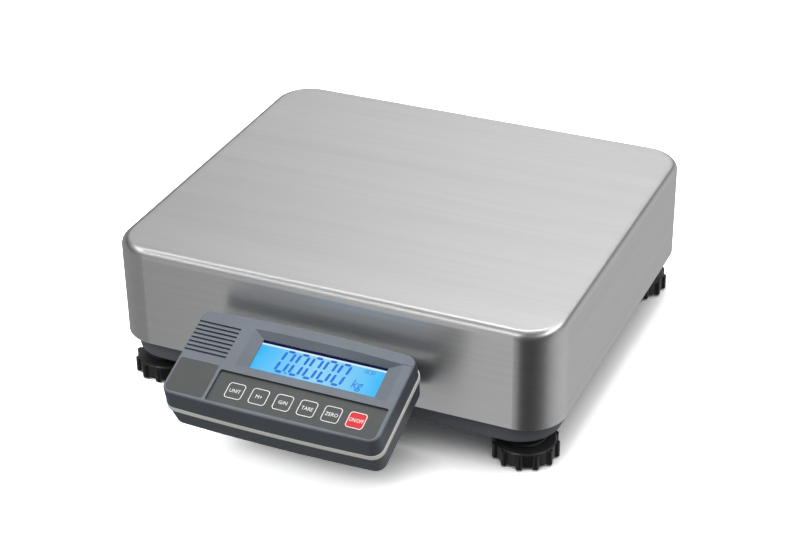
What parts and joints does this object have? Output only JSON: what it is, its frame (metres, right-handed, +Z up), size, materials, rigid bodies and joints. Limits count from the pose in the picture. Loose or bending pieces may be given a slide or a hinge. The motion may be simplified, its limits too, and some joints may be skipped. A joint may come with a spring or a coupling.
{
  "type": "platform shipping scale",
  "caption": "Bench platform scale: brushed steel pan over a load cell base on levelling feet, with a tilted display head in front.",
  "frame": {"origin": "on the floor plane, under the middle of the whole footprint", "axes": "+X along the front edge to the right, +Y from the display towards the back, +Z up"},
  "size_m": [0.35, 0.3949, 0.1158],
  "materials": {
    "pan_steel": "fine brushed grain running along the front edge",
    "base_paint": "blue-grey powder paint, fine orange peel",
    "head_plastic": "blue-grey moulded plastic with a fine spark-eroded grain",
    "trim_plastic": "light grey moulded plastic",
    "window_acrylic": "clear polished acrylic",
    "lcd_glass": "backlit liquid crystal glass, sky blue",
    "lcd_backlight": "light guide, white",
    "key_film": "textured dark grey printed film",
    "red_key": "textured red printed film",
    "foot_plastic": "black glass-filled nylon",
    "sole_rubber": "black rubber",
    "buffer_rubber": "black rubber",
    "fastener_steel": "bright zinc-plated steel",
    "bracket_paint": "dark grey powder paint",
    "cast_aluminium": "as-cast, lightly shot blasted",
    "machined_aluminium": "milled",
    "inner_plastic": "black moulded plastic",
    "board_laminate": "green solder mask",
    "battery_case": "dark grey battery case",
    "level_glass": "tinted spirit level"
  },
  "bodies": {
    "base": {"base_gland": "inner_plastic", "base_housing": "base_paint", "battery": "battery_case", "battery_hatch": "base_paint", "beeper": "inner_plastic", "board_screws": "fastener_steel", "bracket_bolts": "fastener_steel", "bracket_head_screws": "fastener_steel", "bracket_nuts": "fastener_steel", "cell_bolts_lower": "fastener_steel", "cell_spacer_lower": "machined_aluminium", "display_holder": "inner_plastic", "display_window": "window_acrylic", "foot_nuts": "fastener_steel", "hatch_screws": "fastener_steel", "head_bracket": "bracket_paint", "head_gland": "inner_plastic", "head_lower_shell": "head_plastic", "head_trim_strip": "trim_plastic", "head_upper_shell": "head_plastic", "key_circuit": "key_film", "key_domes": "fastener_steel", "key_overlay": "key_film", "label_plate": "key_film", "lcd_backlight": "lcd_backlight", "lcd_glass": "lcd_glass", "level_housing": "inner_plastic", "level_vial": "level_glass", "load_cell": "machined_aluminium", "main_board": "board_laminate", "overload_stops": "fastener_steel", "power_inlet": "inner_plastic", "shell_screws": "fastener_steel", "stop_locknuts": "fastener_steel"},
    "load_frame": {"cell_spacer_upper": "machined_aluminium", "cell_bolts_upper": "fastener_steel", "cross_frame": "cast_aluminium", "pan_buffers": "buffer_rubber"},
    "pan": {"pan": "pan_steel"},
    "sole_front_left": {"foot_sole_front_left": "sole_rubber"},
    "foot_front_left": {"foot_wheel_front_left": "foot_plastic", "foot_stem_front_left": "fastener_steel"},
    "sole_front_right": {"foot_sole_front_right": "sole_rubber"},
    "foot_front_right": {"foot_wheel_front_right": "foot_plastic", "foot_stem_front_right": "fastener_steel"},
    "sole_rear_left": {"foot_sole_rear_left": "sole_rubber"},
    "foot_rear_left": {"foot_wheel_rear_left": "foot_plastic", "foot_stem_rear_left": "fastener_steel"},
    "sole_rear_right": {"foot_sole_rear_right": "sole_rubber"},
    "foot_rear_right": {"foot_wheel_rear_right": "foot_plastic", "foot_stem_rear_right": "fastener_steel"},
    "key_unit": {"key_unit": "key_film"},
    "key_memory": {"key_memory": "key_film"},
    "key_gross_net": {"key_gross_net": "key_film"},
    "key_tare": {"key_tare": "key_film"},
    "key_zero": {"key_zero": "key_film"},
    "key_on_off": {"key_on_off": "red_key"}
  },
  "joints": [
    {"name": "load_deflection", "type": "slide", "parent": "base", "child": "load_frame", "axis": [0, 0, 1], "range_m": [-0.0006, 0], "stiffness_N_per_m": 400000, "springref_m": 0.00015, "deforming": ["load_cell"]},
    {"name": "pan_lift", "type": "slide", "parent": "load_frame", "child": "pan", "axis": [0, 0, 1], "range_m": [0, 0.1]},
    {"name": "foot_height_front_left", "type": "slide", "parent": "base", "child": "sole_front_left", "axis": [0, 0, 1], "range_m": [-0.0055, 0.0055]},
    {"name": "foot_turn_front_left", "type": "hinge", "parent": "sole_front_left", "child": "foot_front_left", "pos_m": [-0.1459, -0.08414, 0.0075], "axis": [0, 0, 1], "range_deg": [-1319, 1319]},
    {"name": "foot_height_front_right", "type": "slide", "parent": "base", "child": "sole_front_right", "axis": [0, 0, 1], "range_m": [-0.0055, 0.0055]},
    {"name": "foot_turn_front_right", "type": "hinge", "parent": "sole_front_right", "child": "foot_front_right", "pos_m": [0.1459, -0.08414, 0.0075], "axis": [0, 0, 1], "range_deg": [-1319, 1319]},
    {"name": "foot_height_rear_left", "type": "slide", "parent": "base", "child": "sole_rear_left", "axis": [0, 0, 1], "range_m": [-0.0055, 0.0055]},
    {"name": "foot_turn_rear_left", "type": "hinge", "parent": "sole_rear_left", "child": "foot_rear_left", "pos_m": [-0.1459, 0.16956, 0.0075], "axis": [0, 0, 1], "range_deg": [-1319, 1319]},
    {"name": "foot_height_rear_right", "type": "slide", "parent": "base", "child": "sole_rear_right", "axis": [0, 0, 1], "range_m": [-0.0055, 0.0055]},
    {"name": "foot_turn_rear_right", "type": "hinge", "parent": "sole_rear_right", "child": "foot_rear_right", "pos_m": [0.1459, 0.16956, 0.0075], "axis": [0, 0, 1], "range_deg": [-1319, 1319]},
    {"name": "key_press_unit", "type": "slide", "parent": "base", "child": "key_unit", "axis": [0, 0.3518, -0.9361], "range_m": [0, 0.0004], "stiffness_N_per_m": 4000},
    {"name": "key_press_memory", "type": "slide", "parent": "base", "child": "key_memory", "axis": [0, 0.3518, -0.9361], "range_m": [0, 0.0004], "stiffness_N_per_m": 4000},
    {"name": "key_press_gross_net", "type": "slide", "parent": "base", "child": "key_gross_net", "axis": [0, 0.3518, -0.9361], "range_m": [0, 0.0004], "stiffness_N_per_m": 4000},
    {"name": "key_press_tare", "type": "slide", "parent": "base", "child": "key_tare", "axis": [0, 0.3518, -0.9361], "range_m": [0, 0.0004], "stiffness_N_per_m": 4000},
    {"name": "key_press_zero", "type": "slide", "parent": "base", "child": "key_zero", "axis": [0, 0.3518, -0.9361], "range_m": [0, 0.0004], "stiffness_N_per_m": 4000},
    {"name": "key_press_on_off", "type": "slide", "parent": "base", "child": "key_on_off", "axis": [0, 0.3518, -0.9361], "range_m": [0, 0.0004], "stiffness_N_per_m": 4000}
  ],
  "couplings": [
    {"joint": "foot_height_front_left", "follows": "foot_turn_front_left", "m_per_rad": 0.00023873},
    {"joint": "foot_height_front_right", "follows": "foot_turn_front_right", "m_per_rad": 0.00023873},
    {"joint": "foot_height_rear_left", "follows": "foot_turn_rear_left", "m_per_rad": 0.00023873},
    {"joint": "foot_height_rear_right", "follows": "foot_turn_rear_right", "m_per_rad": 0.00023873}
  ]
}
